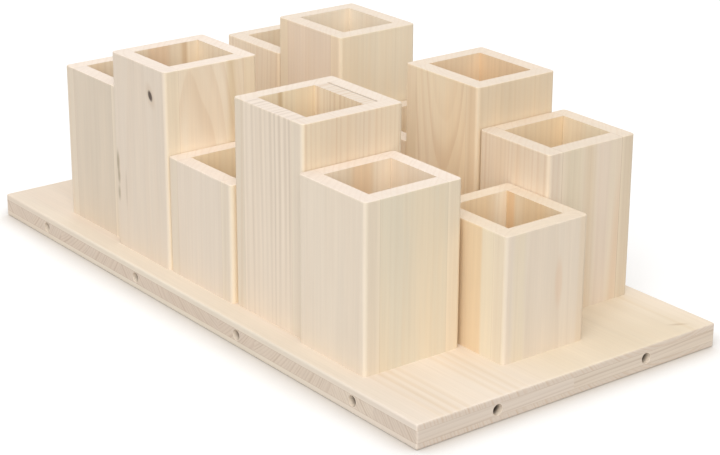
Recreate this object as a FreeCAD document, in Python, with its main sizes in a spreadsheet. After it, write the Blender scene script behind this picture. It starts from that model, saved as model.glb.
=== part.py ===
import FreeCAD, Part
import os
from dataclasses import dataclass

import Sketcher

# Tool storage caddy
# Eleven open boxes, each glued up from planed spruce boards, stand on a three-ply spruce base.
# Two rows of five boxes leave an open channel between them, and one low box closes its right end.
# The origin is the middle of the base's underside: +X runs along the base towards the end box,
# +Y runs from the front row to the back row and +Z is up. All sizes are in millimetres.

# Driving dimensions
SIZES = {
    "wall": 12.0,  # thickness of every box board
    "box_long": 80.0,  # longer outer side of a box
    "box_short": 72.0,  # shorter outer side of a box
    "box_gap": 0.5,  # hairline left between neighbouring boxes
    "height_low": 90.0,
    "height_mid": 120.0,
    "height_tall": 150.0,
    "corner_round": 3.0,  # upright outer corners of a box
    "rim_ease": 0.8,  # outer edge of a box's rim
    "left_margin": 68.0,  # left end of the base to the rows
    "right_margin": 74.0,  # rows to the right end of the base
    "front_margin": 16.0,  # front edge of the base to the front row
    "channel": 76.0,  # open space between the rows
    "back_margin": 12.0,  # back row to the back edge of the base
    "first_set_back": 6.0,  # how far three front boxes stand behind the row's front line
    "third_set_back": 1.0,
    "fourth_set_back": 4.0,
    "third_cut_short": 2.0,  # how much lower than the other low boxes the third front box is
    "fourth_left_long": 2.0,  # how much taller than the other tall boxes the fourth front box is
    "fourth_step_out": 2.0,  # how far the fourth back box stands out into the channel
    "end_box_reach": 40.0,  # how far the end box stands out past the rows
    "face_ply": 4.5,  # outer plies of the base
    "base_ease": 1.5,  # rounded edges of the base
    "dowel_bore": 8.0,  # diameter of the dowel holes in the base's edges
    "dowel_depth": 30.0,
    "bore_cover": 0.5,  # core wood left above and below a dowel hole
}

# Counts
LONG_EDGE_BORES = 4  # dowel holes in each long edge, each in the middle of a core strip of its own
SHORT_EDGE_BORES = 2  # dowel holes in each short edge, each in the middle of an end piece of its own
UNITS_PER_BORE = 3  # strip widths from one dowel hole of a long edge to the next

# Sizes that follow from the driving dimensions
ROW_LENGTH = "(2 * Sizes.box_short + 3 * Sizes.box_long + 4 * Sizes.box_gap)"
BASE_LENGTH = f"(Sizes.left_margin + {ROW_LENGTH} + Sizes.right_margin)"
BASE_WIDTH = "(Sizes.front_margin + 2 * Sizes.box_long + Sizes.channel + Sizes.back_margin)"
CORE_PLY = "(Sizes.dowel_bore + 2 * Sizes.bore_cover)"
BASE_TOP = f"(2 * Sizes.face_ply + {CORE_PLY})"
STRIP = f"({BASE_LENGTH} / {LONG_EDGE_BORES * UNITS_PER_BORE})"
END_PIECE = f"({BASE_WIDTH} / {SHORT_EDGE_BORES})"
BASE_LEFT = f"(-{BASE_LENGTH} / 2)"
BASE_FRONT = f"(-{BASE_WIDTH} / 2)"
ROWS_RIGHT = f"({BASE_LENGTH} / 2 - Sizes.right_margin)"
FRONT_ROW_FRONT = f"({BASE_FRONT} + Sizes.front_margin)"
FRONT_ROW_BACK = f"({FRONT_ROW_FRONT} + Sizes.box_long)"
BACK_ROW_FRONT = f"({FRONT_ROW_BACK} + Sizes.channel)"

NEAR = 0.001  # points closer than this count as the same place


@dataclass
class Box:
    """One open box: its outer left front corner, outer sizes and the way its long side lies."""

    name: str
    left: str
    front: str
    width: str
    depth: str
    height: str
    long_side_on_x: bool
    double_back: bool = False


def make_sheet(doc):
    """Put every driving dimension in a cell of its own, under its own alias."""
    sheet = doc.addObject("Spreadsheet::Sheet", "Sizes")
    for row, (alias, size) in enumerate(SIZES.items(), start=1):
        sheet.set(f"A{row}", alias)
        sheet.set(f"B{row}", str(size))
        sheet.setAlias(f"B{row}", alias)
    doc.recompute()
    return sheet


def new_sketch(body, name, role):
    """Start a sketch on one of the body's own origin planes."""
    plane = next(item for item in body.Origin.OriginFeatures if item.Role == role)
    sketch = body.newObject("Sketcher::SketchObject", name)
    sketch.AttachmentSupport = [(plane, "")]
    sketch.MapMode = "FlatFace"
    return sketch


def draw_rectangle(sketch, width, depth):
    """Draw a rectangle from the sketch's origin with its two sides tied to expressions."""
    corners = [FreeCAD.Vector(x, y, 0) for x, y in ((0, 0), (50, 0), (50, 10), (0, 10))]
    for start, end in zip(corners, corners[1:] + corners[:1]):
        sketch.addGeometry(Part.LineSegment(start, end), False)
    for side in range(4):
        sketch.addConstraint(Sketcher.Constraint("Coincident", side, 2, (side + 1) % 4, 1))
        sketch.addConstraint(Sketcher.Constraint("Vertical" if side % 2 else "Horizontal", side))
    sketch.addConstraint(Sketcher.Constraint("Coincident", 0, 1, -1, 1))
    for name, kind, side, size in (("width", "DistanceX", 0, width), ("depth", "DistanceY", 1, depth)):
        number = sketch.addConstraint(Sketcher.Constraint(kind, side, 1, side, 2, 10.0))
        sketch.renameConstraint(number, name)
        sketch.setExpression(f"Constraints.{name}", size)


def draw_bore(sketch, along, height):
    """Draw one dowel hole with its place and its diameter tied to expressions."""
    hole = sketch.addGeometry(Part.Circle(FreeCAD.Vector(20, 5, 0), FreeCAD.Vector(0, 0, 1), 4), False)
    constraints = (
        ("along", Sketcher.Constraint("DistanceX", -1, 1, hole, 3, 20.0), along),
        ("up", Sketcher.Constraint("DistanceY", -1, 1, hole, 3, 5.0), height),
        ("across", Sketcher.Constraint("Diameter", hole, 8.0), "Sizes.dowel_bore"),
    )
    for name, constraint, size in constraints:
        sketch.renameConstraint(sketch.addConstraint(constraint), name)
        sketch.setExpression(f"Constraints.{name}", size)


def edges_where(shape, test):
    """Names of the edges whose middle point passes a test."""
    names = []
    for number, edge in enumerate(shape.Edges, start=1):
        middle = edge.valueAt((edge.FirstParameter + edge.LastParameter) / 2)
        if test(middle):
            names.append(f"Edge{number}")
    return names


def place(body, x, y, z, turn=0):
    """Turn a body about the vertical and tie its corner to three expressions."""
    body.Placement = FreeCAD.Placement(FreeCAD.Vector(), FreeCAD.Rotation(FreeCAD.Vector(0, 0, 1), turn))
    for axis, where in (("x", x), ("y", y), ("z", z)):
        body.setExpression(f"Placement.Base.{axis}", where)


def pad_board(doc, name, width, depth, height):
    """Start a body with a rectangular board that has one corner at its own origin."""
    body = doc.addObject("PartDesign::Body", name)
    body.Label = name
    sketch = new_sketch(body, f"{name}_outline", "XY_Plane")
    draw_rectangle(sketch, width, depth)
    pad = body.newObject("PartDesign::Pad", f"{name}_pad")
    pad.Profile = sketch
    pad.setExpression("Length", height)
    doc.recompute()
    return body, pad


def round_edges(doc, body, name, test, radius):
    """Fillet the edges of the body's last feature that pass a test."""
    last = body.Tip
    names = edges_where(last.Shape, test)
    fillet = body.newObject("PartDesign::Fillet", f"{body.Label}_{name}")
    fillet.Base = (last, names)
    fillet.setExpression("Radius", radius)
    doc.recompute()


def make_wall(doc, name, width, height, x, y, turn, full_width):
    """Build one upright box board whose outer face looks along -Y before it is turned.

    A full-width board carries both upright corners of its face, so it gets the rounding there.
    A board that fits between two others only has its outer rim edge eased.
    """
    body, pad = pad_board(doc, name, width, "Sizes.wall", height)
    box = pad.Shape.BoundBox
    if full_width:
        middle = box.Center.z
        corner = lambda point: abs(point.z - middle) < NEAR and abs(point.y - box.YMin) < NEAR
        round_edges(doc, body, "corners", corner, "Sizes.corner_round")
        rim = lambda point: abs(point.z - box.ZMax) < NEAR and abs(point.y - box.YMax) > NEAR
    else:
        rim = lambda point: abs(point.z - box.ZMax) < NEAR and abs(point.y - box.YMin) < NEAR
    round_edges(doc, body, "rim", rim, "Sizes.rim_ease")
    place(body, x, y, BASE_TOP, turn)
    return body


def make_box(doc, box):
    """Build a box: two full boards across its long direction and two boards between them."""
    right = f"({box.left} + {box.width})"
    back = f"({box.front} + {box.depth})"
    if box.long_side_on_x:
        between = f"({box.width} - 2 * Sizes.wall)"
        walls = [
            ("left_wall", box.depth, box.left, back, 270, True),
            ("right_wall", box.depth, right, box.front, 90, True),
            ("front_wall", between, f"{box.left} + Sizes.wall", box.front, 0, False),
            ("back_wall", between, f"{right} - Sizes.wall", back, 180, False),
        ]
    else:
        between = f"({box.depth} - 2 * Sizes.wall)"
        walls = [
            ("front_wall", box.width, box.left, box.front, 0, True),
            ("back_wall", box.width, right, back, 180, True),
            ("left_wall", between, box.left, f"{back} - Sizes.wall", 270, False),
            ("right_wall", between, right, f"{box.front} + Sizes.wall", 90, False),
        ]
    if box.double_back:
        walls.append(("back_liner", between, f"{right} - Sizes.wall", f"{back} - Sizes.wall", 180, False))
    return [
        make_wall(doc, f"{box.name}_{wall}", width, box.height, x, y, turn, full_width)
        for wall, width, x, y, turn, full_width in walls
    ]


def lay_row(name, boxes):
    """Set a row's boxes side by side, from the right end of the rows to the left.

    Each box is given as its height, whether its long side lies along X, the expression of its
    front face and whether its back wall is doubled.
    """
    laid = []
    right = ROWS_RIGHT
    for number in range(len(boxes), 0, -1):
        height, long_side_on_x, front, double_back = boxes[number - 1]
        width = "Sizes.box_long" if long_side_on_x else "Sizes.box_short"
        depth = "Sizes.box_short" if long_side_on_x else "Sizes.box_long"
        if double_back:
            depth = f"({depth} + Sizes.wall)"
        left = f"({right} - {width})"
        laid.append(Box(f"{name}_{number}", left, front, width, depth, height, long_side_on_x, double_back))
        right = f"({left} - Sizes.box_gap)"
    return laid


def lay_boxes():
    """List all boxes: the front row, the back row and the end box in the channel."""
    low, mid, tall = "Sizes.height_low", "Sizes.height_mid", "Sizes.height_tall"
    front_row = [
        (mid, True, f"{FRONT_ROW_FRONT} + Sizes.first_set_back", False),
        (tall, False, FRONT_ROW_FRONT, False),
        (f"({low} - Sizes.third_cut_short)", True, f"{FRONT_ROW_FRONT} + Sizes.third_set_back", False),
        (f"({tall} + Sizes.fourth_left_long)", True, f"{FRONT_ROW_FRONT} + Sizes.fourth_set_back", True),
        (mid, False, FRONT_ROW_FRONT, False),
    ]
    back_row = [
        (mid, False, BACK_ROW_FRONT, False),
        (tall, True, BACK_ROW_FRONT, False),
        (low, True, BACK_ROW_FRONT, False),
        (tall, True, f"{BACK_ROW_FRONT} - Sizes.fourth_step_out", False),
        (mid, False, BACK_ROW_FRONT, False),
    ]
    end_box = Box(
        name="end_box",
        left=f"({ROWS_RIGHT} + Sizes.end_box_reach - Sizes.box_long)",
        front=f"({BACK_ROW_FRONT} - Sizes.box_gap - Sizes.box_short)",
        width="Sizes.box_long",
        depth="Sizes.box_short",
        height=low,
        long_side_on_x=True,
    )
    return lay_row("front_box", front_row) + lay_row("back_box", back_row) + [end_box]


def make_face_ply(doc, name, z, outer_face_up):
    """Build an outer ply of the base, with its corners and its outer edges rounded."""
    body, pad = pad_board(doc, name, BASE_LENGTH, BASE_WIDTH, "Sizes.face_ply")
    box = pad.Shape.BoundBox
    outer = box.ZMax if outer_face_up else box.ZMin
    upright_or_outer = lambda point: min(abs(point.z - box.Center.z), abs(point.z - outer)) < NEAR
    round_edges(doc, body, "edges", upright_or_outer, "Sizes.base_ease")
    place(body, BASE_LEFT, BASE_FRONT, z)
    return body


def bore_edge(doc, body, name, role, offset, reverse, along):
    """Drill a dowel hole into one edge of a core strip and check that wood was removed."""
    before = body.Tip.Shape.Volume
    sketch = new_sketch(body, f"{body.Label}_{name}_hole", role)
    if offset:
        sketch.setExpression("AttachmentOffset.Base.z", offset)
    draw_bore(sketch, along, f"{CORE_PLY} / 2")
    pocket = body.newObject("PartDesign::Pocket", f"{body.Label}_{name}_bore")
    pocket.Profile = sketch
    pocket.Reversed = reverse
    pocket.setExpression("Length", "Sizes.dowel_depth")
    doc.recompute()
    if not pocket.Shape.Volume < before:
        raise RuntimeError(f"{pocket.Name} removed no wood")


def make_bored_strip(doc, number):
    """Build a core strip that has a dowel hole in each long edge of the base."""
    body, _ = pad_board(doc, f"base_core_bored_{number + 1}", STRIP, BASE_WIDTH, CORE_PLY)
    bore_edge(doc, body, "front", "XZ_Plane", None, False, f"{STRIP} / 2")
    bore_edge(doc, body, "back", "XZ_Plane", f"-{BASE_WIDTH}", True, f"{STRIP} / 2")
    units = UNITS_PER_BORE * number + UNITS_PER_BORE // 2
    place(body, f"{BASE_LEFT} + {units} * {STRIP}", BASE_FRONT, "Sizes.face_ply")
    return body


def make_plain_strip(doc, number):
    """Build the core strip that fills the space between two bored strips."""
    width = f"({UNITS_PER_BORE - 1} * {STRIP})"
    body, _ = pad_board(doc, f"base_core_plain_{number + 1}", width, BASE_WIDTH, CORE_PLY)
    units = UNITS_PER_BORE * number + UNITS_PER_BORE // 2 + 1
    place(body, f"{BASE_LEFT} + {units} * {STRIP}", BASE_FRONT, "Sizes.face_ply")
    return body


def make_end_piece(doc, on_left, number):
    """Build one length of the core's end strip, with a dowel hole in the base's short edge.

    The two outermost pieces of each end carry the base's rounded corners.
    """
    side = "left" if on_left else "right"
    body, pad = pad_board(doc, f"base_core_{side}_end_{number + 1}", STRIP, END_PIECE, CORE_PLY)
    box = pad.Shape.BoundBox
    outer_x = box.XMin if on_left else box.XMax
    outer_y = {0: box.YMin, SHORT_EDGE_BORES - 1: box.YMax}.get(number)
    if outer_y is not None:
        corner = lambda point: max(abs(point.x - outer_x), abs(point.y - outer_y)) < NEAR
        round_edges(doc, body, "corner", corner, "Sizes.base_ease")
    bore_edge(doc, body, "end", "YZ_Plane", None if on_left else STRIP, on_left, f"{END_PIECE} / 2")
    left = BASE_LEFT if on_left else f"-{BASE_LEFT} - {STRIP}"
    place(body, left, f"{BASE_FRONT} + {number} * {END_PIECE}", "Sizes.face_ply")
    return body


def make_base(doc):
    """Build the base board: two face plies and the strips of the core between them."""
    boards = [
        make_face_ply(doc, "base_bottom_ply", "0", False),
        make_face_ply(doc, "base_top_ply", f"Sizes.face_ply + {CORE_PLY}", True),
    ]
    boards += [make_bored_strip(doc, number) for number in range(LONG_EDGE_BORES)]
    boards += [make_plain_strip(doc, number) for number in range(LONG_EDGE_BORES - 1)]
    for on_left in (True, False):
        boards += [make_end_piece(doc, on_left, number) for number in range(SHORT_EDGE_BORES)]
    return boards


def check_document(doc, bodies):
    """Stop if any object failed to compute or any board is not one sound solid."""
    for item in doc.Objects:
        if "Invalid" in item.State or "Error" in item.State:
            raise RuntimeError(f"{item.Name} did not compute: {item.State}")
    for body in bodies:
        if body.Shape.isNull() or not body.Shape.isValid() or len(body.Shape.Solids) != 1:
            raise RuntimeError(f"{body.Label} is not one sound solid")


def main():
    """Build the caddy and write each board to a file of its own."""
    doc = FreeCAD.newDocument("tool_storage_caddy")
    make_sheet(doc)
    bodies = make_base(doc)
    for box in lay_boxes():
        bodies += make_box(doc, box)
    doc.recompute()
    check_document(doc, bodies)
    os.makedirs("parts", exist_ok=True)
    for body in bodies:
        body.Shape.exportStep(f"parts/{body.Label}.step")
    print(f"{len(bodies)} boards written")


main()
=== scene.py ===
"""Looks of the tool storage caddy: planed spruce boxes on a three-ply spruce base, in a white studio."""

import logging
import math
import zlib
from dataclasses import dataclass, field, replace
from enum import Enum
from random import Random

import bpy
from mathutils import Matrix, Vector

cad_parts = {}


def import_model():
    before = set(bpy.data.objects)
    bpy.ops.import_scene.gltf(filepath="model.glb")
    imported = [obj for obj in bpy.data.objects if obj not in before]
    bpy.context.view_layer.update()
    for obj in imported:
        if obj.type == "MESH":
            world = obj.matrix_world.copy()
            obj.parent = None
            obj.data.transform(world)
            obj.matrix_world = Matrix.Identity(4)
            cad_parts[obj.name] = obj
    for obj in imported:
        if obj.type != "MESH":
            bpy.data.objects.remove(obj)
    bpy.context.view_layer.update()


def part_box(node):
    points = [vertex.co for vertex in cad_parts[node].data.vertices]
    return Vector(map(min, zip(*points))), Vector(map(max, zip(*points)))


LOG = logging.getLogger("caddy")
MM = 0.001
IMAGE_WIDTH = 720
SENSOR_MM = 36.0
WHITE = "#FFFFFF"
COLOUR_A, COLOUR_B = 6, 7  # a Mix node's colour inputs, which share their names with its other inputs
SEED_REACH = 90.0  # how far from the origin a board may lie in the noise
WHOLE_LENGTH = 1.0e5  # half length of a mark that runs the whole board, in mm


class Grain(Enum):
    """Axis of the part's frame that a board's fibres follow."""

    ALONG_X = 0
    ALONG_Y = 1
    UPRIGHT = 2


class Cut(Enum):
    """How a board was sawn from the log, as the pith's place in mm: across the board, behind its middle."""

    QUARTER = (150.0, 8.0)
    RIFT = (95.0, 80.0)
    FLAT = (0.0, 48.0)


def linear(hex_colour: str) -> tuple[float, float, float, float]:
    """Turn an sRGB hex colour into linear red, green, blue and alpha.

    Args:
        hex_colour: Six hex digits after a hash sign.

    Returns:
        The linear colour with full alpha.
    """
    parts = [int(hex_colour[start:start + 2], 16) / 255 for start in (1, 3, 5)]
    # The sRGB curve: a straight foot, then a power
    red, green, blue = (
        part / 12.92 if part <= 0.04045 else ((part + 0.055) / 1.055) ** 2.4 for part in parts)
    return red, green, blue, 1.0


def add_node(tree: bpy.types.NodeTree, kind: str, links: dict | None = None,
             **settings: object) -> bpy.types.NodeSocket:
    """Add a node, set its properties and fill or link its inputs.

    Args:
        tree: Node tree that gets the node.
        kind: Blender's type name of the node.
        links: Input name or number to a socket that is linked or a value that is set.
        settings: Properties of the node.

    Returns:
        The node's first output that is in use, or its first input if it has no outputs.
    """
    node = tree.nodes.new(kind)
    for name, value in settings.items():
        setattr(node, name, value)
    for name, value in (links or {}).items():
        if isinstance(value, bpy.types.NodeSocket):
            tree.links.new(value, node.inputs[name])
        else:
            node.inputs[name].default_value = value
    return next((out for out in node.outputs if out.enabled), None) or node.inputs[0]


def seen_share(tree: bpy.types.NodeTree) -> bpy.types.NodeSocket:
    """Tell a surface that is seen, straight, in a gloss or through glass, from one that only lights.

    Args:
        tree: Node tree of the surface's material or of the world.

    Returns:
        1 where the surface is seen and 0 where it only lights.
    """
    rays = add_node(tree, "ShaderNodeLightPath").node.outputs
    seen = rays["Is Camera Ray"]
    for kind in ("Is Glossy Ray", "Is Transmission Ray"):
        seen = add_node(tree, "ShaderNodeMath", {0: seen, 1: rays[kind]}, operation="MAXIMUM")
    return seen


@dataclass(frozen=True)
class Mark:
    """A soft-edged patch of another tone: heartwood, resin, a knot or a dark year in the wood, and in a few
    places painted light or painted shade.

    Places are in mm in the part's frame, across the board and along its grain. A mark fades over the
    soft share of its half sizes, and its slant is how far it leans across for each mm along.
    """

    across: float
    half_across: float
    tone: str
    strength: float
    along: float = 0.0
    half_along: float = WHOLE_LENGTH
    soft: float = 0.45
    slant: float = 0.0


@dataclass(frozen=True)
class Spots:
    """Soft noise drawn out along the grain: its spots' width and length in mm, and its layers of detail."""

    wide: float
    long: float
    detail: float


@dataclass(frozen=True)
class Spruce:
    """Spruce, planed and left raw: pale straw early wood, thin tan late wood, a dry silky surface.

    Fast-grown spruce has rings of 2 to 6 mm. Fibres are far finer than a pixel, so their streaks are
    drawn about 1.5 mm wide. Glue lines of a tenth of a millimetre are drawn 0.6 mm wide to show at all.
    """

    # Colours
    early: str = "#EFE0CC"
    late: str = "#CFAE84"
    warm: str = "#EBCFA8"
    end_grain: str = "#F2E3D5"
    # Painted light: a board's narrow sides take the tone that light gives faces looking their way, pinker
    # towards the front and yellower towards the right
    side_light_tone: str = "#E6D7C4"
    glue: str = "#A98A66"
    # Painted highlight along a board's long corners
    corner_highlight: str = "#F8EAD2"
    bore_mouth: str = "#F4E5D2"
    # Painted shade deep in a dowel hole
    bore_depth_shade: str = "#4A382A"

    # How much of these colours shows
    contrast: float = 0.2
    end_contrast: float = 0.14
    warmth: float = 0.3
    end_share: float = 0.88
    side_light_share: float = 0.0
    corner_highlight_share: float = 0.3
    glued_sides: float = 0.0
    glued_faces: tuple[float, float] = (0.0, 0.0)
    fibre_contrast: float = 0.05

    # Growth: ring width, the pith's place, the trunk's taper and waver, how uneven the years are, and the
    # parts of a year in which late wood builds up and stops
    ring_mm: float = 3.4
    cut: Cut = Cut.RIFT
    pith_side: int = 1
    pith_shift: tuple[float, float] = (0.0, 0.0)
    taper: float = 0.012
    waver_mm: float = 5.0
    year_spread: float = 0.23
    year_shift: float = 2.2
    summer: tuple[float, float] = (0.35, 0.86)
    autumn: tuple[float, float] = (0.90, 1.0)
    palest_year: float = 0.2

    # Noises, and the part of a noise's range that each one works in
    waver: Spots = Spots(60.0, 260.0, 2.0)
    flame: Spots = Spots(24.0, 190.0, 3.0)
    haze: Spots = Spots(9.0, 120.0, 2.0)
    fibre: Spots = Spots(1.5, 55.0, 3.0)
    spot_roughness: float = 0.55
    flame_range: tuple[float, float] = (0.40, 0.66)
    streak_range: tuple[float, float] = (0.25, 0.75)
    rough_range: tuple[float, float] = (0.3, 0.7)

    # How squarely a face looks along an axis where it begins to count as an end or a side, and where it does
    facing: tuple[float, float] = (0.6, 0.9)

    # Planed surface, on which the hard late wood stands a little proud
    roughness: float = 0.6
    rough_swing: float = 0.05
    ridge_mm: float = 0.06
    ridge_strength: float = 0.5
    late_ridge: float = 0.8
    ior: float = 1.5

    # Borders and dowel holes in mm; the depths in diameters where a hole's painted shade begins and is
    # darkest
    glue_mm: float = 0.6
    corner_highlight_mm: float = 0.0
    drilled: Grain | None = None
    bore_mm: float = 8.0
    bore_edge_mm: float = 0.4
    bore_shade: tuple[float, float] = (0.2, 0.9)
    marks: tuple[Mark, ...] = ()

    def material(self, name: str, low: Vector, high: Vector, grain: Grain) -> bpy.types.Material:
        """Make the material of one board, with its own place in the log.

        Args:
            name: Name of the board, which also seeds its own variation.
            low: Lowest corner of the board in metres.
            high: Highest corner of the board in metres.
            grain: Axis that the fibres follow.

        Returns:
            The finished material.
        """
        material = bpy.data.materials.new(f"{name}_planed_spruce")
        material.use_nodes = True
        tree = material.node_tree
        tree.nodes.clear()
        dice = Random(zlib.crc32(name.encode()))
        seed = [dice.uniform(-SEED_REACH, SEED_REACH) for _ in range(3)]

        half = (high - low) / MM / 2
        middle = (low + high) / MM / 2
        crossways = [axis for axis in range(3) if axis != grain.value]
        across, depth = sorted(crossways, key=lambda axis: -half[axis])

        # Place on the board in mm: across it, through it and along the fibres
        coords = add_node(tree, "ShaderNodeTexCoord").node.outputs["Object"]
        part_mm = add_node(tree, "ShaderNodeVectorMath", {
            0: coords, 1: (1 / MM,) * 3, 2: [-part for part in middle]}, operation="MULTIPLY_ADD")
        axes = add_node(tree, "ShaderNodeSeparateXYZ", {0: part_mm}).node.outputs
        board = add_node(tree, "ShaderNodeCombineXYZ", {
            place: axes[axis] for place, axis in enumerate((across, depth, grain.value))})

        # Which way the surface looks: 1 on end grain, and 1 on the board's narrow sides
        normal = add_node(tree, "ShaderNodeNewGeometry").node.outputs["Normal"]
        normal = add_node(tree, "ShaderNodeVectorMath", {0: normal}, operation="ABSOLUTE")
        normal = add_node(tree, "ShaderNodeSeparateXYZ", {0: normal}).node.outputs
        on_end, on_side = (
            add_node(tree, "ShaderNodeMapRange", {
                "Value": normal[axis], "From Min": self.facing[0], "From Max": self.facing[1]},
                interpolation_type="SMOOTHSTEP")
            for axis in (grain.value, across))

        noises = self.spread_noises(tree, board, seed)
        bent = add_node(tree, "ShaderNodeVectorMath", {
            0: noises["waver"].node.outputs["Color"], 1: (self.waver_mm,) * 3, 2: board},
            operation="MULTIPLY_ADD")
        late = self.grow_rings(tree, bent)

        # Broad warm flames, the board's marks, its ends, the painted light tone of its narrow sides, the
        # rings, then fine fibre streaks
        flame = add_node(tree, "ShaderNodeMapRange", {
            "Value": noises["flame"], "From Min": self.flame_range[0], "From Max": self.flame_range[1],
            "To Max": self.warmth}, interpolation_type="SMOOTHSTEP")
        colour = add_node(tree, "ShaderNodeMix", {
            "Factor": flame, COLOUR_A: linear(self.early), COLOUR_B: linear(self.warm)}, data_type="RGBA")
        for mark in self.marks:
            place = (mark.across - middle[across], mark.along - middle[grain.value])
            colour = self.lay_mark(tree, mark, place, colour, bent)
        # Painted light on the narrow sides, in the tone of the light from their direction
        faces = ((on_end, self.end_share, self.end_grain), (on_side, self.side_light_share, self.side_light_tone))
        for where, most, tone in faces:
            share = add_node(tree, "ShaderNodeMath", {0: where, 1: most}, operation="MULTIPLY")
            colour = add_node(tree, "ShaderNodeMix", {
                "Factor": share, COLOUR_A: colour, COLOUR_B: linear(tone)}, data_type="RGBA")
        contrast = add_node(tree, "ShaderNodeMapRange", {
            "Value": on_end, "To Min": self.contrast, "To Max": self.end_contrast})
        late_share = add_node(tree, "ShaderNodeMath", {0: late, 1: contrast}, operation="MULTIPLY")
        colour = add_node(tree, "ShaderNodeMix", {
            "Factor": late_share, COLOUR_A: colour, COLOUR_B: linear(self.late)}, data_type="RGBA")
        for use in ("haze", "fibre"):
            streak = add_node(tree, "ShaderNodeMapRange", {
                "Value": noises[use], "From Min": self.streak_range[0], "From Max": self.streak_range[1],
                "To Min": 1 - self.fibre_contrast / 2, "To Max": 1 + self.fibre_contrast / 2})
            colour = add_node(tree, "ShaderNodeVectorMath", {0: colour, "Scale": streak}, operation="SCALE")

        colour = self.draw_borders(tree, colour, board, (half[across], half[depth]))
        if self.drilled:
            colour = self.colour_bore(tree, colour, part_mm, half)
        self.plane_surface(tree, colour, late, noises["fibre"])
        return material

    def spread_noises(self, tree: bpy.types.NodeTree, board: bpy.types.NodeSocket,
                      seed: list[float]) -> dict[str, bpy.types.NodeSocket]:
        """Spread the board's four noises, each drawn out along the grain.

        Args:
            tree: Node tree of the board's material.
            board: Place on the board in mm.
            seed: The board's own place in the noise.

        Returns:
            Each use and its noise.
        """
        uses = {"waver": self.waver, "flame": self.flame, "haze": self.haze, "fibre": self.fibre}
        noises = {}
        for use, spots in uses.items():
            stretched = add_node(tree, "ShaderNodeVectorMath", {
                0: board, 1: (1 / spots.wide, 1 / spots.wide, 1 / spots.long), 2: seed},
                operation="MULTIPLY_ADD")
            noises[use] = add_node(tree, "ShaderNodeTexNoise", {
                "Vector": stretched, "Scale": 1.0, "Detail": spots.detail, "Roughness": self.spot_roughness})
        return noises

    def grow_rings(self, tree: bpy.types.NodeTree, bent: bpy.types.NodeSocket) -> bpy.types.NodeSocket:
        """Grow the log's rings round its pith, shrinking up the tapered trunk.

        Args:
            tree: Node tree of the board's material.
            bent: The wavering place on the board in mm: across, through and along.

        Returns:
            How much of the wood is late wood, from 0 to 1.
        """
        pith = (self.pith_side * self.cut.value[0] + self.pith_shift[0],
                self.cut.value[1] + self.pith_shift[1], 0.0)
        from_pith = add_node(tree, "ShaderNodeVectorMath", {
            0: bent, 1: (1.0, 1.0, 0.0), 2: [-part for part in pith]}, operation="MULTIPLY_ADD")
        radius = add_node(tree, "ShaderNodeVectorMath", {0: from_pith}, operation="LENGTH")
        along = add_node(tree, "ShaderNodeSeparateXYZ", {0: bent}).node.outputs["Z"]
        radius = add_node(tree, "ShaderNodeMath", {
            0: along, 1: self.taper, 2: radius}, operation="MULTIPLY_ADD")
        rings = add_node(tree, "ShaderNodeMath", {0: radius, 1: self.ring_mm}, operation="DIVIDE")

        # Good and bad years stand further apart and closer together
        spacing = add_node(tree, "ShaderNodeTexNoise", {
            "W": rings, "Scale": self.year_spread, "Detail": 1.0}, noise_dimensions="1D")
        rings = add_node(tree, "ShaderNodeMath", {
            0: spacing, 1: self.year_shift, 2: rings}, operation="MULTIPLY_ADD")
        phase = add_node(tree, "ShaderNodeMath", {0: rings}, operation="FRACT")
        number = add_node(tree, "ShaderNodeMath", {0: rings}, operation="FLOOR")

        # Late wood builds up slowly through the season and stops at once in autumn; some years are darker
        summer = add_node(tree, "ShaderNodeMapRange", {
            "Value": phase, "From Min": self.summer[0], "From Max": self.summer[1]},
            interpolation_type="SMOOTHSTEP")
        autumn = add_node(tree, "ShaderNodeMapRange", {
            "Value": phase, "From Min": self.autumn[0], "From Max": self.autumn[1],
            "To Min": 1.0, "To Max": 0.0}, interpolation_type="SMOOTHSTEP")
        late = add_node(tree, "ShaderNodeMath", {0: summer, 1: autumn}, operation="MULTIPLY")
        year = add_node(tree, "ShaderNodeTexWhiteNoise", {"W": number}, noise_dimensions="1D")
        year = add_node(tree, "ShaderNodeMapRange", {
            "Value": year, "To Min": self.palest_year, "To Max": 1.0})
        return add_node(tree, "ShaderNodeMath", {0: late, 1: year}, operation="MULTIPLY")

    def lay_mark(self, tree: bpy.types.NodeTree, mark: Mark, place: tuple[float, float],
                 colour: bpy.types.NodeSocket, bent: bpy.types.NodeSocket) -> bpy.types.NodeSocket:
        """Lay one mark over a colour.

        Args:
            tree: Node tree of the board's material.
            mark: Patch to lay.
            place: Its middle from the board's middle in mm, across and along.
            colour: Colour so far.
            bent: The wavering place on the board in mm: across, through and along.

        Returns:
            The colour with the mark.
        """
        # The waver's noise lies round a half, so it has moved the wood by half its reach
        over, up = (part + self.waver_mm / 2 for part in place)
        parts = add_node(tree, "ShaderNodeSeparateXYZ", {0: bent}).node.outputs
        leaning = add_node(tree, "ShaderNodeMath", {
            0: parts["Z"], 1: -mark.slant, 2: parts["X"]}, operation="MULTIPLY_ADD")
        spot = add_node(tree, "ShaderNodeCombineXYZ", {"X": leaning, "Y": parts["Z"]})
        scaled = add_node(tree, "ShaderNodeVectorMath", {
            0: spot, 1: (1 / mark.half_across, 1 / mark.half_along, 0.0),
            2: ((mark.slant * up - over) / mark.half_across, -up / mark.half_along, 0.0)},
            operation="MULTIPLY_ADD")
        distance = add_node(tree, "ShaderNodeVectorMath", {0: scaled}, operation="LENGTH")
        share = add_node(tree, "ShaderNodeMapRange", {
            "Value": distance, "From Min": 1 - mark.soft, "From Max": 1 + mark.soft,
            "To Min": mark.strength, "To Max": 0.0}, interpolation_type="SMOOTHSTEP")
        return add_node(tree, "ShaderNodeMix", {
            "Factor": share, COLOUR_A: colour, COLOUR_B: linear(mark.tone)}, data_type="RGBA")

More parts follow.
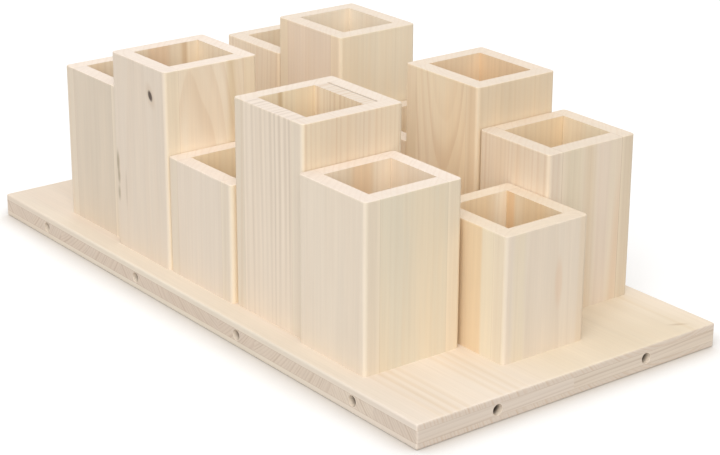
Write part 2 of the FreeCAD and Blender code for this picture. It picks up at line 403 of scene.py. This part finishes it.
    def draw_borders(self, tree: bpy.types.NodeTree, colour: bpy.types.NodeSocket,
                     board: bpy.types.NodeSocket, half: tuple[float, float]) -> bpy.types.NodeSocket:
        """Draw the glue lines at a board's borders and the painted highlight along its long corners.

        Args:
            tree: Node tree of the board's material.
            colour: Colour so far.
            board: Place on the board in mm.
            half: Half the board's width and half its thickness in mm.

        Returns:
            The colour with the borders.
        """
        edge = (half[0], half[1], 0.0)
        from_low = add_node(tree, "ShaderNodeVectorMath", {
            0: board, 1: (1.0, 1.0, 0.0), 2: edge}, operation="MULTIPLY_ADD")
        from_high = add_node(tree, "ShaderNodeVectorMath", {
            0: board, 1: (-1.0, -1.0, 0.0), 2: edge}, operation="MULTIPLY_ADD")
        nearest = add_node(tree, "ShaderNodeVectorMath", {0: from_low, 1: from_high}, operation="MINIMUM")
        to_corner = add_node(tree, "ShaderNodeVectorMath", {0: nearest}, operation="LENGTH")
        to_side = add_node(tree, "ShaderNodeSeparateXYZ", {0: nearest}).node.outputs["X"]
        to_low_face, to_high_face = (
            add_node(tree, "ShaderNodeSeparateXYZ", {0: distance}).node.outputs["Y"]
            for distance in (from_low, from_high))
        borders = (
            # The painted highlight along the long corners
            (to_corner, self.corner_highlight_mm, self.corner_highlight_share, self.corner_highlight),
            (to_side, self.glue_mm, self.glued_sides, self.glue),
            (to_low_face, self.glue_mm, self.glued_faces[0], self.glue),
            (to_high_face, self.glue_mm, self.glued_faces[1], self.glue),
        )
        for distance, reach, strength, tone in borders:
            if reach * strength > 0:
                share = add_node(tree, "ShaderNodeMapRange", {
                    "Value": distance, "From Min": 0.0, "From Max": reach,
                    "To Min": strength, "To Max": 0.0}, interpolation_type="SMOOTHSTEP")
                colour = add_node(tree, "ShaderNodeMix", {
                    "Factor": share, COLOUR_A: colour, COLOUR_B: linear(tone)}, data_type="RGBA")
        return colour

    def colour_bore(self, tree: bpy.types.NodeTree, colour: bpy.types.NodeSocket,
                    part_mm: bpy.types.NodeSocket, half: Vector) -> bpy.types.NodeSocket:
        """Colour the hole along a board's middle: fresh, pale wood at its mouth and painted shade that
        darkens it with depth.

        Args:
            tree: Node tree of the board's material.
            colour: Colour so far.
            part_mm: Place from the board's middle in mm, in the part's axes.
            half: Half the board's sizes in mm, in the part's axes.

        Returns:
            The colour with the hole.
        """
        along = [1.0 if axis == self.drilled.value else 0.0 for axis in range(3)]
        off_axis = [1.0 - part for part in along]
        from_axis = add_node(tree, "ShaderNodeVectorMath", {0: part_mm, 1: off_axis}, operation="MULTIPLY")
        from_axis = add_node(tree, "ShaderNodeVectorMath", {0: from_axis}, operation="LENGTH")
        from_middle = add_node(tree, "ShaderNodeVectorMath", {0: part_mm, 1: along}, operation="MULTIPLY")
        from_middle = add_node(tree, "ShaderNodeVectorMath", {0: from_middle}, operation="LENGTH")
        mouth = half[self.drilled.value]
        radius = self.bore_mm / 2
        inside = add_node(tree, "ShaderNodeMapRange", {
            "Value": from_axis, "From Min": radius, "From Max": radius + self.bore_edge_mm,
            "To Min": 1.0, "To Max": 0.0})
        # Painted shade: the hole's wall darkens from its mouth inwards
        shallow, dark = (mouth - diameters * self.bore_mm for diameters in self.bore_shade)
        deep = add_node(tree, "ShaderNodeMapRange", {
            "Value": from_middle, "From Min": dark, "From Max": shallow,
            "To Min": 1.0, "To Max": 0.0}, interpolation_type="SMOOTHSTEP")
        wall = add_node(tree, "ShaderNodeMix", {
            "Factor": deep, COLOUR_A: linear(self.bore_mouth), COLOUR_B: linear(self.bore_depth_shade)},
            data_type="RGBA")
        return add_node(tree, "ShaderNodeMix", {
            "Factor": inside, COLOUR_A: colour, COLOUR_B: wall}, data_type="RGBA")

    def plane_surface(self, tree: bpy.types.NodeTree, colour: bpy.types.NodeSocket,
                      late: bpy.types.NodeSocket, fibre: bpy.types.NodeSocket) -> None:
        """Give the colour its planed surface: fine ridges and a gloss that changes with the fibres.

        Args:
            tree: Node tree of the board's material.
            colour: Finished colour.
            late: How much of the wood is late wood.
            fibre: Noise of the fibres.
        """
        height = add_node(tree, "ShaderNodeMath", {
            0: late, 1: self.late_ridge, 2: fibre}, operation="MULTIPLY_ADD")
        bump = add_node(tree, "ShaderNodeBump", {
            "Height": height, "Strength": self.ridge_strength, "Distance": self.ridge_mm * MM})
        rough = add_node(tree, "ShaderNodeMapRange", {
            "Value": fibre, "From Min": self.rough_range[0], "From Max": self.rough_range[1],
            "To Min": self.roughness - self.rough_swing, "To Max": self.roughness + self.rough_swing})
        shader = add_node(tree, "ShaderNodeBsdfPrincipled", {
            "Base Color": colour, "Roughness": rough, "Normal": bump, "IOR": self.ior})
        add_node(tree, "ShaderNodeOutputMaterial", {"Surface": shader})

    def dress(self, name: str, grain: Grain) -> None:
        """Put this wood on one CAD board.

        Args:
            name: Name of the board's node.
            grain: Axis that the fibres follow.
        """
        low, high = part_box(name)
        slots = bpy.data.objects[name].data.materials
        slots.clear()
        slots.append(self.material(name, low, high, grain))
        LOG.info("dressed %s", name)


# Woods of the faces that show outside, partly painted light: greyish pink mostly to the front and straw
# yellow mostly to the right, tinted like the light from those sides, and peach spruce made paler to offset
# the shade between the rows
PINK = Spruce(
    early="#E9DAC8", late="#CDB195", warm="#EAD8C2", ring_mm=4.2, contrast=0.1, corner_highlight_mm=3.6,
    side_light_tone="#E2D3BC", side_light_share=0.8)
STRAW = Spruce(
    early="#EBDBC2", late="#CFB083", warm="#EFD6B2", ring_mm=4.2, contrast=0.12, corner_highlight_mm=3.6,
    side_light_share=0.8)
PEACH = Spruce(
    early="#F4E2CA", late="#CBA27A", warm="#F0D3AE", contrast=0.22, waver_mm=10.0, corner_highlight_mm=3.6,
    side_light_tone="#E9D7C0", side_light_share=0.6)

# Faces that show inside, painted paler to offset the shade inside the boxes: with yellow sides, with pink
# sides, and a greyer board
INNER = Spruce(
    early="#F9E8CE", late="#CFA87C", warm="#F6D9B0", ring_mm=4.2, contrast=0.16, side_light_tone="#F0DEC3",
    side_light_share=0.9)
INNER_PINK = replace(INNER, side_light_tone="#E3D4C0")
GREY_INNER = replace(INNER, early="#FBEED9", late="#D6B694", warm="#F6E0C4", contrast=0.09)

# End grain of the rims, which is a little greyer in the back row
FRONT_RIM = Spruce.end_grain
BACK_RIM = "#E9D9C7"

# The dead knot with its brown halo, and the resin streaks near the same board's edge
KNOT = (
    Mark(-62.9, 4.5, "#C3A27E", 0.25, along=147.2, half_along=8.0, slant=-0.3),
    Mark(-62.9, 2.5, "#3E2B20", 0.95, along=147.2, half_along=3.6, soft=0.35, slant=-0.3),
)
RESIN = (
    Mark(-111.0, 2.0, "#8F7D5C", 0.62, along=84.0, half_along=7.0, soft=0.7),
    Mark(-110.2, 1.6, "#8F7D5C", 0.6, along=73.0, half_along=5.0, soft=0.7),
    Mark(-110.6, 1.6, "#8F7D5C", 0.5, along=60.0, half_along=5.0, soft=0.7),
    Mark(-100.0, 1.2, "#B9A68E", 0.3, along=66.0, half_along=14.0),
)

# Dark years of the striped front board, which fade towards its foot: place, half width and strength
STRIPES = tuple(
    Mark(place, half, "#B09A82", strength, along=168.0, half_along=105.0, soft=0.8)
    for place, half, strength in (
        (59.5, 1.0, 0.17), (64.3, 0.8, 0.14), (69.8, 1.3, 0.19), (74.6, 0.9, 0.15), (80.6, 1.4, 0.23),
        (85.7, 0.9, 0.18), (91.6, 1.3, 0.28), (97.9, 1.5, 0.22), (102.4, 1.1, 0.34), (107.2, 1.0, 0.26)))

# The face plies' broad tones, painted shade at their left end and their small knot, then their dark years:
# place and strength
PLY_TONES_AND_SHADE = (
    Mark(50.0, 78.0, "#E7D8BD", 0.7),
    # Painted shade: the left end darker, offsetting the light that the back lamp throws there
    Mark(0.0, 200.0, "#DCCAB4", 0.5, along=-255.0, half_along=110.0, soft=0.6),
    Mark(-126.0, 11.0, "#E6DBC6", 0.5, half_along=220.0, soft=0.4),
    Mark(-62.0, 34.0, "#F2E6D6", 0.5, along=220.0, half_along=55.0, soft=0.7),
    Mark(85.0, 45.0, "#DDCCB0", 0.45, along=258.0, half_along=26.0, soft=0.7),
    Mark(109.9, 2.2, "#B3946E", 0.45, along=250.0, half_along=3.2, soft=0.9, slant=1.3),
)
PLY_YEARS = tuple(
    Mark(place, 1.6, "#D4B88C", strength, along=200.0, half_along=240.0, soft=0.8)
    for place, strength in (
        (-112.0, 0.13), (-105.0, 0.26), (-98.0, 0.25), (-90.5, 0.17), (-61.5, 0.18), (-54.5, 0.18),
        (-47.5, 0.22), (-41.0, 0.1), (112.0, 0.18)))


@dataclass
class Box:
    """One open box: four upright boards, two of them full width and two between these.

    In a box that is longer along x, the front and back boards are the ones between.
    """

    name: str
    front: Spruce = PINK
    right: Spruce = STRAW
    back: Spruce = INNER
    left: Spruce = INNER
    liner: Spruce | None = None
    rim: str = FRONT_RIM
    long_on_x: bool = True
    glue_strength: float = 0.22

    def dress(self) -> None:
        """Dress the four walls, and the liner where the box has one."""
        walls = {
            "front_wall": self.front, "right_wall": self.right,
            "back_wall": self.back, "left_wall": self.left}
        between = ("front_wall", "back_wall") if self.long_on_x else ("left_wall", "right_wall")
        for wall, wood in walls.items():
            wood = replace(wood, end_grain=self.rim)
            # A board between two others has glue lines where these have free corners, and no painted corner
            # highlight
            if wall in between:
                wood = replace(wood, corner_highlight_mm=0.0, glued_sides=self.glue_strength)
            wood.dress(f"{self.name}_{wall}", Grain.UPRIGHT)
        if self.liner:
            self.liner.dress(f"{self.name}_back_liner", Grain.UPRIGHT)


@dataclass
class Base:
    """The three-ply board: two face plies along its length and a core of strips across it.

    A few strips have a tone of their own. From strip to strip, the pith changes sides and moves back by a
    step in mm, and begins again after a few steps.
    """

    ply: Spruce = Spruce(
        early="#EDDFD0", late="#C9A680", warm="#EAD9C4", ring_mm=2.6, contrast=0.06, taper=0.003,
        end_grain="#DDCDBD", end_share=0.85, end_contrast=0.4, marks=PLY_TONES_AND_SHADE + PLY_YEARS)
    core: Spruce = Spruce(
        early="#E0D0BF", late="#B09379", warm="#DEC8B0", ring_mm=2.6, contrast=0.4,
        end_grain="#DCCAB8", end_share=0.5, end_contrast=0.45, glued_faces=(0.35, 0.35))
    strip_tones: dict[str, str] = field(default_factory=lambda: {
        "base_core_plain_3": "#E7D8C6", "base_core_bored_4": "#EFE1CF",
        "base_core_right_end_1": "#E3D4C4", "base_core_right_end_2": "#E1D2C0"})
    plies: tuple[str, ...] = ("base_top_ply", "base_bottom_ply")
    bored_strips: int = 4
    plain_strips: int = 3
    end_pieces: int = 2
    pith_step: float = 14.0
    pith_steps: int = 3

    def strips(self) -> dict[str, Grain | None]:
        """List the core's strips.

        Returns:
            Each strip's name, and the axis of its dowel holes if it has any.
        """
        bored = {f"base_core_bored_{count + 1}": Grain.ALONG_Y for count in range(self.bored_strips)}
        plain = {f"base_core_plain_{count + 1}": None for count in range(self.plain_strips)}
        ends = {
            f"base_core_{end}_end_{count + 1}": Grain.ALONG_X
            for end in ("left", "right") for count in range(self.end_pieces)}
        return bored | plain | ends

    def dress(self) -> None:
        """Dress the plies, then the core's strips with rings that lean another way in each."""
        for name in self.plies:
            self.ply.dress(name, Grain.ALONG_X)
        for count, (name, drilled) in enumerate(self.strips().items()):
            wood = replace(
                self.core, early=self.strip_tones.get(name, self.core.early), drilled=drilled,
                pith_side=1 if count % 2 else -1,
                pith_shift=(0.0, self.pith_step * (count % self.pith_steps)))
            wood.dress(name, Grain.ALONG_Y)


@dataclass
class Caddy:
    """The wooden object itself: eleven boxes on their base."""

    base: Base = field(default_factory=Base)
    boxes: tuple[Box, ...] = (
        Box("front_box_1", front=replace(PINK, early="#DDCEBA"), left=INNER_PINK),
        Box("front_box_2", long_on_x=False,
            front=replace(PINK, early="#E6D7C5", side_light_tone="#EFE0C6", cut=Cut.FLAT, marks=KNOT + RESIN),
            right=replace(STRAW, early="#F4E6D1", late="#CFAA82", ring_mm=4.4, contrast=0.24, waver_mm=13.0,
                          cut=Cut.FLAT, pith_shift=(-8.0, -8.0), taper=0.09, marks=(
                              Mark(-84.0, 12.0, "#F2D9BC", 0.25, along=130.0, half_along=34.0),
                              Mark(-61.0, 3.5, "#D9BE8C", 0.42, soft=0.8))),
            back=replace(INNER, side_light_tone="#F2E1C6"),
            left=replace(INNER, marks=(
                Mark(-82.0, 9.0, "#F0C9A2", 0.5), Mark(-60.0, 2.4, "#C79B62", 0.42, soft=0.8)))),
        Box("front_box_3",
            # Painted light: the inside of this box is paler still, offsetting its deeper shade
            back=replace(INNER, early="#FFF1D6", marks=(Mark(0.0, 40.0, "#F6D6A8", 0.25),)),
            left=replace(INNER_PINK, early="#FFF1D6", marks=(Mark(-76.0, 30.0, "#F6D6A8", 0.25),))),
        Box("front_box_4", rim="#EEDFD0",
            front=replace(PINK, early="#EFDFCB", late="#B8A28A", ring_mm=5.6, contrast=0.2, end_contrast=0.48,
                          cut=Cut.QUARTER, taper=0.004, marks=STRIPES),
            right=replace(STRAW, late="#C99F74", ring_mm=4.4, contrast=0.26, cut=Cut.QUARTER,
                          marks=(Mark(-66.0, 28.0, "#EAD2B6", 0.3),)),
            left=replace(INNER_PINK, early="#FBEACB", marks=(Mark(-82.0, 1.8, "#C9A468", 0.5, soft=0.8),)),
            # The open glue line behind the liner shows as a dark seam in the rim
            liner=replace(INNER, ring_mm=5.0, contrast=0.45, end_grain="#E4D5C5", end_contrast=0.5,
                          cut=Cut.QUARTER, glue="#857668", glue_mm=2.4, glued_faces=(0.0, 0.85))),
        Box("front_box_5", long_on_x=False,
            front=replace(PINK, early="#EDDECA", contrast=0.07),
            right=replace(STRAW, early="#E3D7C0", contrast=0.1),
            back=replace(PEACH, early="#F9EAD6", contrast=0.08, side_light_tone="#E4D5BC", side_light_share=0.9),
            left=replace(INNER, early="#FCEBD3", marks=(Mark(-72.0, 8.0, "#F6CC9C", 0.45),))),
        Box("back_box_1", rim=BACK_RIM, long_on_x=False, front=PEACH),
        Box("back_box_2", rim=BACK_RIM,
            front=replace(PEACH, early="#EDDBC7", contrast=0.1),
            right=replace(STRAW, early="#EEE1C9", contrast=0.08, side_light_tone="#F2DEC4"),
            back=GREY_INNER, left=GREY_INNER),
        Box("back_box_3", rim=BACK_RIM, front=PEACH, right=PEACH),
        Box("back_box_4", rim=BACK_RIM,
            front=replace(PEACH, early="#F4E3C7", ring_mm=3.2, contrast=0.25, cut=Cut.FLAT,
                          pith_shift=(7.5, -8.0), taper=-0.06, marks=(
                              # Painted light: a paler patch low on the left, offsetting the shade between the
                              # rows
                              Mark(60.0, 22.0, "#FFF0DC", 0.55, along=75.0, half_along=55.0, soft=0.8),)),
            right=replace(STRAW, early="#E4D1B5", contrast=0.2, side_light_tone="#F0D9BA"),
            back=replace(INNER, early="#F6DAB6"),
            left=replace(INNER, early="#F5DEBE")),
        Box("back_box_5", rim="#E5D5C2", long_on_x=False, glue_strength=0.55,
            front=replace(PEACH, early="#F0E0CB", contrast=0.24, side_light_tone="#DECDB8", side_light_share=0.9),
            right=replace(PINK, early="#E6D6BF", contrast=0.16, ring_mm=4.6, marks=(
                # Painted light: paler low down, offsetting the shadow of the end box
                Mark(75.0, 26.0, "#F3E6D4", 0.4, along=35.0, half_along=45.0, soft=0.8),
                Mark(63.0, 8.0, "#D6C9AB", 0.4),
                Mark(78.0, 4.0, "#D3B58C", 0.3, soft=0.9),
                Mark(91.0, 6.0, "#E6D3C2", 0.5),
                Mark(105.5, 4.0, "#D9AE80", 0.3, along=48.0, half_along=60.0, soft=0.9, slant=0.05))),
            back=replace(PEACH, early="#F7E9CE", contrast=0.12, side_light_tone="#D6C3AA", side_light_share=0.8),
            left=replace(INNER, marks=(Mark(80.0, 44.0, "#F6D6A4", 0.4),))),
        Box("end_box", rim="#E9D8C2",
            front=replace(STRAW, early="#E9DDC6", contrast=0.07, warmth=0.1,
                          marks=(Mark(180.0, 26.0, "#E7CDA8", 0.85, soft=0.06),)),
            right=replace(PINK, early="#E7D8C4", side_light_tone="#E8DBC4", contrast=0.14, corner_highlight_mm=1.6, cut=Cut.FLAT,
                          marks=(
                              Mark(-20.0, 5.0, "#E9DABA", 0.4),
                              Mark(36.5, 4.0, "#DFC5A2", 0.35),
                              Mark(15.0, 3.0, "#E4BC98", 0.3, along=66.0, half_along=16.0))),
            back=replace(INNER, early="#F0DDBF", marks=(
                Mark(166.0, 4.0, "#EFC490", 0.6), Mark(190.0, 12.0, "#F2D09E", 0.4))),
            left=replace(INNER_PINK, marks=(
                Mark(22.5, 4.5, "#FFF4DE", 0.6), Mark(0.0, 14.0, "#F8D8A6", 0.5)))),
    )

    def dress(self) -> None:
        """Dress the base and every box."""
        self.base.dress()
        for box in self.boxes:
            box.dress()


@dataclass(frozen=True)
class Paper:
    """White studio paper, matt: it keeps a soft shadow, which turns brownish where the wood is near.

    It is seen as white paper, but throws only as much light back on the object as grey paper would. The
    shadow's reach is in metres.
    """

    tone: str = "#F6F6F6"
    shadow_tone: str = "#C2B9AE"
    bounce_tone: str = "#CACACA"
    shadow_reach: float = 0.026
    shadow_foot: float = 0.45
    shadow_samples: int = 16
    lift: float = 0.14

    def material(self) -> bpy.types.Material:
        """Make the paper's material.

        Returns:
            The finished material.
        """
        material = bpy.data.materials.new("white_paper_matt")
        material.use_nodes = True
        tree = material.node_tree
        tree.nodes.clear()
        nook = add_node(tree, "ShaderNodeAmbientOcclusion", {
            "Distance": self.shadow_reach}, samples=self.shadow_samples)
        open_share = add_node(tree, "ShaderNodeMapRange", {
            "Value": nook.node.outputs["AO"], "From Min": self.shadow_foot, "From Max": 1.0})
        paper = add_node(tree, "ShaderNodeMix", {
            "Factor": open_share, COLOUR_A: linear(self.shadow_tone), COLOUR_B: linear(self.tone)},
            data_type="RGBA")
        white = add_node(tree, "ShaderNodeBsdfDiffuse", {"Color": paper})
        lift = add_node(tree, "ShaderNodeEmission", {"Color": linear(WHITE), "Strength": self.lift})
        shown = add_node(tree, "ShaderNodeAddShader", {0: white, 1: lift})
        grey = add_node(tree, "ShaderNodeBsdfDiffuse", {"Color": linear(self.bounce_tone)})
        shader = add_node(tree, "ShaderNodeMixShader", {0: seen_share(tree), 1: grey, 2: shown})
        add_node(tree, "ShaderNodeOutputMaterial", {"Surface": shader})
        return material


@dataclass(frozen=True)
class Lamp:
    """A far, wide softbox: where it hangs and how wide it looks, in degrees, and its share of the light."""

    name: str
    azimuth: float
    elevation: float
    spread: float
    share: float


@dataclass
class Studio:
    """White studio: floor, soft lamps and the camera at the photograph's viewing angle.

    Angles are in degrees, and places and sizes in metres.
    """

    azimuth: float = 52.4653
    elevation: float = 20.6186
    roll: float = 0.2246
    distance: float = 1.6125
    target: tuple[float, float, float] = (-0.06671, 0.07722, 0.000905)
    focal_px: float = 2020.15
    paper: Paper = Paper()
    floor_half: float = 6.0
    floor_drop: float = 0.05 * MM
    room_light: float = 0.3
    lamps: tuple[Lamp, ...] = (
        Lamp("overhead_softbox", azimuth=45.0, elevation=84.0, spread=90.0, share=0.38),
        Lamp("front_softbox", azimuth=45.0, elevation=32.0, spread=60.0, share=0.56),
        Lamp("back_softbox", azimuth=225.0, elevation=35.0, spread=80.0, share=0.11),
    )

    def build(self) -> None:
        """Set up the whole studio."""
        self.lay_floor()
        self.light_room()
        for lamp in self.lamps:
            self.hang_lamp(lamp)
        self.place_camera()

    def lay_floor(self) -> None:
        """Lay the paper floor, just below the object so that their faces don't meet."""
        half = self.floor_half
        mesh = bpy.data.meshes.new("floor")
        corners = [(-half, -half, 0), (half, -half, 0), (half, half, 0), (-half, half, 0)]
        mesh.from_pydata(corners, [], [(0, 1, 2, 3)])
        mesh.materials.append(self.paper.material())
        floor = bpy.data.objects.new("floor", mesh)
        floor.location.z = -self.floor_drop
        bpy.context.scene.collection.objects.link(floor)
        LOG.info("laid the floor")

    def light_room(self) -> None:
        """Fill the room with even light; the camera itself sees plain white."""
        world = bpy.data.worlds.new("white_room")
        world.use_nodes = True
        tree = world.node_tree
        tree.nodes.clear()
        fill = add_node(tree, "ShaderNodeBackground", {"Color": linear(WHITE), "Strength": self.room_light})
        plain = add_node(tree, "ShaderNodeBackground", {"Color": linear(WHITE), "Strength": 1.0})
        shown = add_node(tree, "ShaderNodeMixShader", {0: seen_share(tree), 1: fill, 2: plain})
        add_node(tree, "ShaderNodeOutputWorld", {"Surface": shown})
        bpy.context.scene.world = world
        LOG.info("lit the room")

    def hang_lamp(self, lamp: Lamp) -> None:
        """Hang one lamp.

        Args:
            lamp: Lamp to hang.
        """
        data = bpy.data.lights.new(lamp.name, "SUN")
        data.angle = math.radians(lamp.spread)
        # A sun of strength pi shows a surface that faces it in its own colour
        data.energy = lamp.share * math.pi
        hung = bpy.data.objects.new(lamp.name, data)
        towards = self.direction(lamp.azimuth, lamp.elevation)
        hung.rotation_euler = towards.to_track_quat("Z", "Y").to_euler()
        bpy.context.scene.collection.objects.link(hung)
        LOG.info("hung %s", lamp.name)

    @staticmethod
    def direction(azimuth: float, elevation: float) -> Vector:
        """Direction from the object towards an azimuth and elevation in degrees."""
        turn, rise = math.radians(azimuth), math.radians(elevation)
        return Vector((math.sin(turn) * math.cos(rise), -math.cos(turn) * math.cos(rise), math.sin(rise)))

    def place_camera(self) -> None:
        """Place the camera where the photograph was taken from."""
        back = self.direction(self.azimuth, self.elevation)
        right = Vector((0, 0, 1)).cross(back).normalized()
        up = back.cross(right)
        frame = Matrix((right, up, back)).transposed() @ Matrix.Rotation(math.radians(self.roll), 3, "Z")
        data = bpy.data.cameras.new("camera")
        data.sensor_fit = "HORIZONTAL"
        data.sensor_width = SENSOR_MM
        data.lens = self.focal_px * SENSOR_MM / IMAGE_WIDTH
        camera = bpy.data.objects.new("camera", data)
        camera.matrix_world = Matrix.Translation(Vector(self.target) + back * self.distance) @ frame.to_4x4()
        bpy.context.scene.collection.objects.link(camera)
        bpy.context.scene.camera = camera
        LOG.info("placed the camera")


def main() -> None:
    """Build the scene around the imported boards."""
    logging.basicConfig(level=logging.INFO, format="%(message)s")
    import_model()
    bpy.context.scene.view_settings.view_transform = "Standard"
    Caddy().dress()
    Studio().build()


if __name__ == "__main__":
    main()
